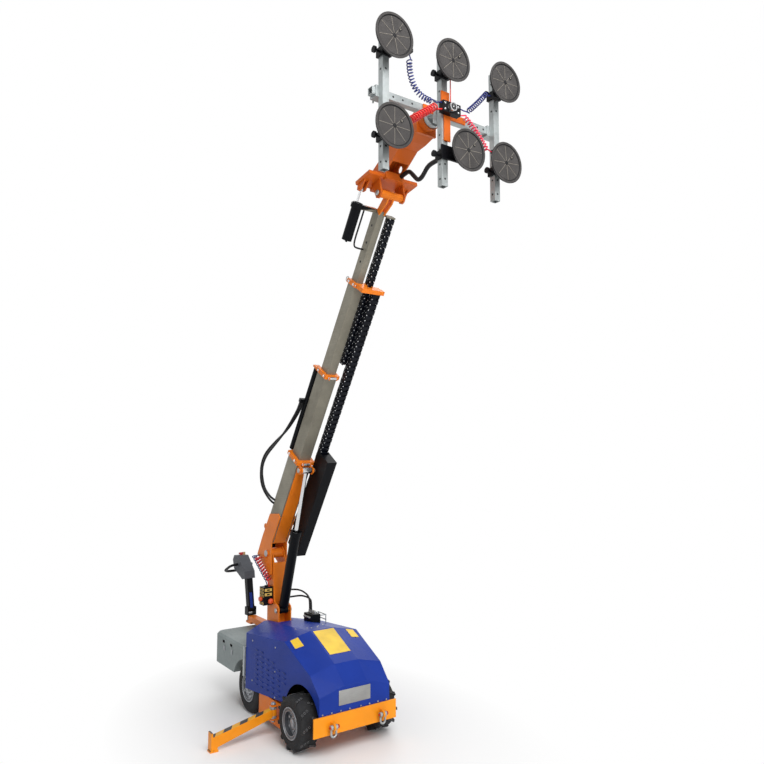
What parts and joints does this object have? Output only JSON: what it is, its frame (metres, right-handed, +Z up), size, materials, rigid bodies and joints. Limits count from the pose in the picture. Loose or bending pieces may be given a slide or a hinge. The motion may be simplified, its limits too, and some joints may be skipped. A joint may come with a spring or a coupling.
{
  "type": "glass panel lifter",
  "caption": "Wheeled counterbalanced glass panel lifter with telescopic boom, tilting and slewing vacuum-pad yoke, tiller control and swing-out stabiliser legs.",
  "frame": {"origin": "on the ground midway between the front wheels", "axes": "+X forward, +Y to the machine's left, +Z up; boom raised and extended, head upright"},
  "size_m": [3.53, 1.577, 5.074],
  "materials": {
    "orange": "satin",
    "blue": "gloss",
    "black_metal": "satin",
    "grey_cast": "matte",
    "zinc": "satin",
    "chrome": "polished",
    "tyre": "matte",
    "rim": "satin",
    "pad": "matte",
    "black_plastic": "matte",
    "grey_plastic": "satin",
    "red_plastic": "gloss",
    "tan_plastic": "satin",
    "hose": "satin",
    "coil": "gloss"
  },
  "bodies": {
    "chassis": {"chassis_frame": "orange", "bumper": "orange", "hood": "blue", "counterweight": "grey_cast", "weight_bracket": "zinc", "tower": "orange", "power_pack": "black_metal", "control_box": "black_metal", "valve_hoses": "hose"},
    "wheel_front_left": {"tyre_front_left": "tyre", "rim_front_left": "rim"},
    "wheel_front_right": {"tyre_front_right": "tyre", "rim_front_right": "rim"},
    "wheel_rear_left": {"tyre_rear_left": "tyre", "rim_rear_left": "rim"},
    "wheel_rear_right": {"tyre_rear_right": "tyre", "rim_rear_right": "rim"},
    "tiller_swivel": {"tiller_base": "black_metal"},
    "tiller": {"tiller_column": "black_metal", "tiller_head": "grey_plastic"},
    "throttle": {"throttle_paddle": "tan_plastic"},
    "belly_button": {"belly_button": "black_plastic"},
    "stop_button": {"stop_button": "red_plastic"},
    "leg_right": {"stabiliser_leg_right": "orange"},
    "leg_left": {"stabiliser_leg_left": "orange"},
    "shackle_right": {"shackle_right": "zinc"},
    "shackle_left": {"shackle_left": "zinc"},
    "boom": {"boom_base": "orange", "boom_tube": "zinc", "chain_trough": "black_metal", "extension_rod": "chrome", "boom_hoses": "hose", "chain_outer": "black_plastic", "tower_coils": "coil"},
    "lift_barrel": {"lift_barrel": "black_metal"},
    "lift_rod": {"lift_rod": "chrome"},
    "stage_1": {"stage_1": "zinc", "extension_barrel": "black_metal"},
    "stage_2": {"stage_2": "zinc", "chain_inner": "black_plastic"},
    "stage_3": {"stage_3": "zinc", "tilt_cylinder": "black_metal", "head_hose": "hose"},
    "head": {"tilt_head": "orange"},
    "tilt_rod": {"tilt_rod": "chrome"},
    "carriage": {"carriage": "orange", "slew_conduit": "hose"},
    "yoke": {"yoke_hub": "zinc", "arm_mid": "zinc", "holders_mid": "black_plastic", "pads_mid": "pad", "vacuum_manifold": "black_metal", "coil_hoses_left": "coil", "coil_hoses_right": "coil"},
    "left_bar": {"arm_left": "zinc", "holders_left": "black_plastic", "pads_left": "pad"},
    "right_bar": {"arm_right": "zinc", "holders_right": "black_plastic", "pads_right": "pad"}
  },
  "joints": [
    {"name": "wheel_front_left_spin", "type": "hinge", "parent": "chassis", "child": "wheel_front_left", "pos_m": [0, 0.352, 0.205], "axis": [0, 1, 0], "continuous": true},
    {"name": "wheel_front_right_spin", "type": "hinge", "parent": "chassis", "child": "wheel_front_right", "pos_m": [0, -0.352, 0.205], "axis": [0, 1, 0], "continuous": true},
    {"name": "wheel_rear_left_spin", "type": "hinge", "parent": "chassis", "child": "wheel_rear_left", "pos_m": [-0.915, 0.31, 0.205], "axis": [0, 1, 0], "continuous": true},
    {"name": "wheel_rear_right_spin", "type": "hinge", "parent": "chassis", "child": "wheel_rear_right", "pos_m": [-0.915, -0.31, 0.205], "axis": [0, 1, 0], "continuous": true},
    {"name": "tiller_swivel", "type": "hinge", "parent": "chassis", "child": "tiller_swivel", "pos_m": [-1.652, 0, 0.6], "axis": [0, 0, 1], "range_deg": [-45, 45]},
    {"name": "tiller_tilt", "type": "hinge", "parent": "tiller_swivel", "child": "tiller", "pos_m": [-1.652, 0, 0.687], "axis": [0, 1, 0], "range_deg": [-20, 15]},
    {"name": "throttle_press", "type": "hinge", "parent": "tiller", "child": "throttle", "pos_m": [-1.91799, 0.04, 1.15477], "axis": [0, 1, 0], "range_deg": [-15, 15], "stiffness_Nm_per_rad": 0.1},
    {"name": "belly_button_press", "type": "slide", "parent": "tiller", "child": "belly_button", "axis": [0.979, 0, 0.204], "range_m": [0, 0.004], "stiffness_N_per_m": 400},
    {"name": "stop_button_press", "type": "slide", "parent": "tiller", "child": "stop_button", "axis": [-0.204, 0, 0.979], "range_m": [-0.005, 0], "stiffness_N_per_m": 600},
    {"name": "leg_right_swing", "type": "hinge", "parent": "chassis", "child": "leg_right", "pos_m": [-0.345, -0.395, 0.18], "axis": [0, 0, 1], "range_deg": [-90, 0]},
    {"name": "leg_left_swing", "type": "hinge", "parent": "chassis", "child": "leg_left", "pos_m": [-0.345, 0.395, 0.18], "axis": [0, 0, 1], "range_deg": [-90, 0]},
    {"name": "shackle_right_swing", "type": "hinge", "parent": "chassis", "child": "shackle_right", "pos_m": [0.296, -0.222, 0.225], "axis": [0, 1, 0], "range_deg": [-85, 12]},
    {"name": "shackle_left_swing", "type": "hinge", "parent": "chassis", "child": "shackle_left", "pos_m": [0.296, 0.222, 0.225], "axis": [0, 1, 0], "range_deg": [-85, 12]},
    {"name": "boom_luff", "type": "hinge", "parent": "chassis", "child": "boom", "pos_m": [-1.13, 0, 1.3], "axis": [0, -1, 0], "range_deg": [-52.5, 12.5], "deforming": ["tower_coils"]},
    {"name": "lift_barrel_swing", "type": "hinge", "parent": "chassis", "child": "lift_barrel", "pos_m": [-0.96, 0, 0.81], "axis": [0, -1, 0], "range_deg": [-39, 9.5]},
    {"name": "lift_rod_swing", "type": "hinge", "parent": "boom", "child": "lift_rod", "pos_m": [-0.55668, 0, 2.07895], "axis": [0, -1, 0], "range_deg": [-3.5, 14]},
    {"name": "telescope_1", "type": "slide", "parent": "boom", "child": "stage_1", "axis": [0.5373, 0, 0.8434], "range_m": [-0.7, 0], "deforming": ["chain_outer", "boom_hoses"]},
    {"name": "telescope_2", "type": "slide", "parent": "stage_1", "child": "stage_2", "axis": [0.5373, 0, 0.8434], "range_m": [-0.7, 0]},
    {"name": "telescope_3", "type": "slide", "parent": "stage_2", "child": "stage_3", "axis": [0.5373, 0, 0.8434], "range_m": [-0.56, 0], "deforming": ["chain_inner", "head_hose"]},
    {"name": "head_tilt", "type": "hinge", "parent": "stage_3", "child": "head", "pos_m": [0.70918, 0, 4.18693], "axis": [0, -1, 0], "range_deg": [-30, 35]},
    {"name": "tilt_rod_swing", "type": "hinge", "parent": "head", "child": "tilt_rod", "pos_m": [0.59088, -0.19, 4.24084], "axis": [0, -1, 0], "range_deg": [-35, 30]},
    {"name": "side_shift", "type": "slide", "parent": "head", "child": "carriage", "axis": [0, 1, 0], "range_m": [-0.075, 0.075]},
    {"name": "yoke_spin", "type": "hinge", "parent": "carriage", "child": "yoke", "pos_m": [1.2, 0, 4.605], "axis": [1, 0, 0], "continuous": true, "deforming": ["slew_conduit"]},
    {"name": "left_bar_slide", "type": "slide", "parent": "yoke", "child": "left_bar", "axis": [0, 1, 0], "range_m": [0, 0.18], "deforming": ["coil_hoses_left"]},
    {"name": "right_bar_slide", "type": "slide", "parent": "yoke", "child": "right_bar", "axis": [0, -1, 0], "range_m": [0, 0.05], "deforming": ["coil_hoses_right"]}
  ],
  "couplings": [
    {"joint": "lift_barrel_swing", "follows": "boom_luff", "ratio": 0.738},
    {"joint": "lift_rod_swing", "follows": "boom_luff", "ratio": -0.262},
    {"joint": "telescope_2", "follows": "telescope_1", "ratio": 1},
    {"joint": "telescope_3", "follows": "telescope_1", "ratio": 0.8},
    {"joint": "tilt_rod_swing", "follows": "head_tilt", "ratio": -1}
  ]
}
